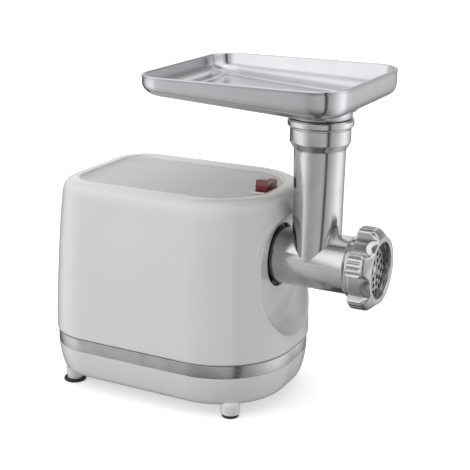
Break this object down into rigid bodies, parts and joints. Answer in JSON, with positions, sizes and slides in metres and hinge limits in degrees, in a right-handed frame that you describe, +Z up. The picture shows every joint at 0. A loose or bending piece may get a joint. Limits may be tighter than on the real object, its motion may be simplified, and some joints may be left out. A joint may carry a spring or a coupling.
{
  "type": "electric meat grinder",
  "caption": "Electric meat grinder: moulded housing with motor and gears, cast mincing head with neck, feed screw, knife, cutting plate, lobed ring nut and loose feed tray.",
  "frame": {"origin": "under the centre of the whole object, at the level of its feet", "axes": "+X from the housing to the outlet along the barrel, +Z up, +Y to the left seen from behind"},
  "size_m": [0.3137, 0.1714, 0.3085],
  "materials": {
    "housing_plastic": "smooth moulded gloss, slightly warm white",
    "trim_steel": "brushed along the band",
    "rubber": "matt black",
    "plated_steel": "zinc plated",
    "bezel_plastic": "pale, slightly translucent",
    "dark_plastic": "fine moulded texture",
    "switch_red": "deep clear red, glossy",
    "gear_case_metal": "die cast, as cast",
    "bronze": "turned",
    "lamination": "stacked sheets, oiled",
    "copper": "enamelled copper wire",
    "tool_steel": "ground",
    "nylon": "natural",
    "carbon": "pressed carbon",
    "cast_aluminium": "die cast, barrel finished to a soft shine",
    "polished_aluminium": "pressed sheet, polished"
  },
  "bodies": {
    "housing": {"housing_shell": "housing_plastic", "base_pan": "housing_plastic", "trim_band": "trim_steel", "foot_pad_front_left": "rubber", "foot_pad_front_right": "rubber", "foot_pad_rear_left": "rubber", "foot_pad_rear_right": "rubber", "base_screw_1": "plated_steel", "base_screw_2": "plated_steel", "base_screw_3": "plated_steel", "base_screw_4": "plated_steel", "cord_gland": "rubber", "switch_bezel": "bezel_plastic", "switch_body": "dark_plastic", "chassis_plate": "plated_steel", "motor_mount_rear": "rubber", "motor_mount_front": "rubber", "gearbox_case": "gear_case_metal", "gearbox_cover": "gear_case_metal", "gearbox_screw_1": "plated_steel", "gearbox_screw_2": "plated_steel", "gearbox_screw_3": "plated_steel", "gearbox_screw_4": "plated_steel", "output_bush": "bronze", "socket_collar": "dark_plastic", "stator_core": "lamination", "field_coil_upper": "copper", "field_coil_lower": "copper", "bearing_rear": "tool_steel", "bearing_front": "tool_steel", "motor_bell_rear": "dark_plastic", "motor_bell_front": "gear_case_metal", "brush_holder_left": "bronze", "brush_holder_right": "bronze", "carbon_brush_left": "carbon", "carbon_brush_right": "carbon", "release_spring": "plated_steel"},
    "armature": {"motor_shaft": "tool_steel", "armature_core": "lamination", "armature_winding": "copper", "commutator": "copper", "cooling_fan": "dark_plastic"},
    "idler_1": {"stage_1_gear": "nylon", "idler_shaft_1": "tool_steel"},
    "idler_2": {"stage_2_gear": "tool_steel", "idler_shaft_2": "tool_steel"},
    "drive": {"output_gear": "tool_steel", "output_shaft": "tool_steel", "feed_screw": "cast_aluminium", "cross_knife": "tool_steel"},
    "head": {"mincer_tube": "cast_aluminium", "screw_bush": "nylon", "cutting_plate": "tool_steel"},
    "nut": {"ring_nut": "cast_aluminium"},
    "feed_tray": {"tray": "polished_aluminium"},
    "rocker": {"switch_rocker": "switch_red"},
    "release": {"release_button": "dark_plastic"}
  },
  "joints": [
    {"name": "motor_spin", "type": "hinge", "parent": "housing", "child": "armature", "pos_m": [-0.0386, 0, 0.0927], "axis": [1, 0, 0], "continuous": true},
    {"name": "idler_1_spin", "type": "hinge", "parent": "housing", "child": "idler_1", "pos_m": [0.0114, 0.024, 0.0783], "axis": [1, 0, 0], "continuous": true},
    {"name": "idler_2_spin", "type": "hinge", "parent": "housing", "child": "idler_2", "pos_m": [0.0214, 0.03, 0.11219], "axis": [1, 0, 0], "continuous": true},
    {"name": "screw_spin", "type": "hinge", "parent": "housing", "child": "drive", "pos_m": [0.0314, 0, 0.1405], "axis": [1, 0, 0], "continuous": true},
    {"name": "head_turn", "type": "hinge", "parent": "housing", "child": "head", "pos_m": [0.0514, 0, 0.1405], "axis": [1, 0, 0], "range_deg": [0, 45]},
    {"name": "nut_unscrew", "type": "hinge", "parent": "head", "child": "nut", "pos_m": [0.1414, 0, 0.1405], "axis": [1, 0, 0], "range_deg": [0, 720]},
    {"name": "tray_lift", "type": "slide", "parent": "head", "child": "feed_tray", "axis": [0, 0, 1], "range_m": [0, 0.03]},
    {"name": "switch_rock", "type": "hinge", "parent": "housing", "child": "rocker", "pos_m": [0.0434, 0, 0.1995], "axis": [1, 0, 0], "range_deg": [0, 18]},
    {"name": "release_press", "type": "slide", "parent": "housing", "child": "release", "axis": [-1, 0, 0], "range_m": [0, 0.0025], "stiffness_N_per_m": 600, "springref_m": -0.001, "deforming": ["release_spring"]}
  ],
  "couplings": [
    {"joint": "idler_1_spin", "follows": "motor_spin", "ratio": -0.21739},
    {"joint": "idler_2_spin", "follows": "motor_spin", "ratio": 0.054348},
    {"joint": "screw_spin", "follows": "motor_spin", "ratio": -0.013587}
  ]
}
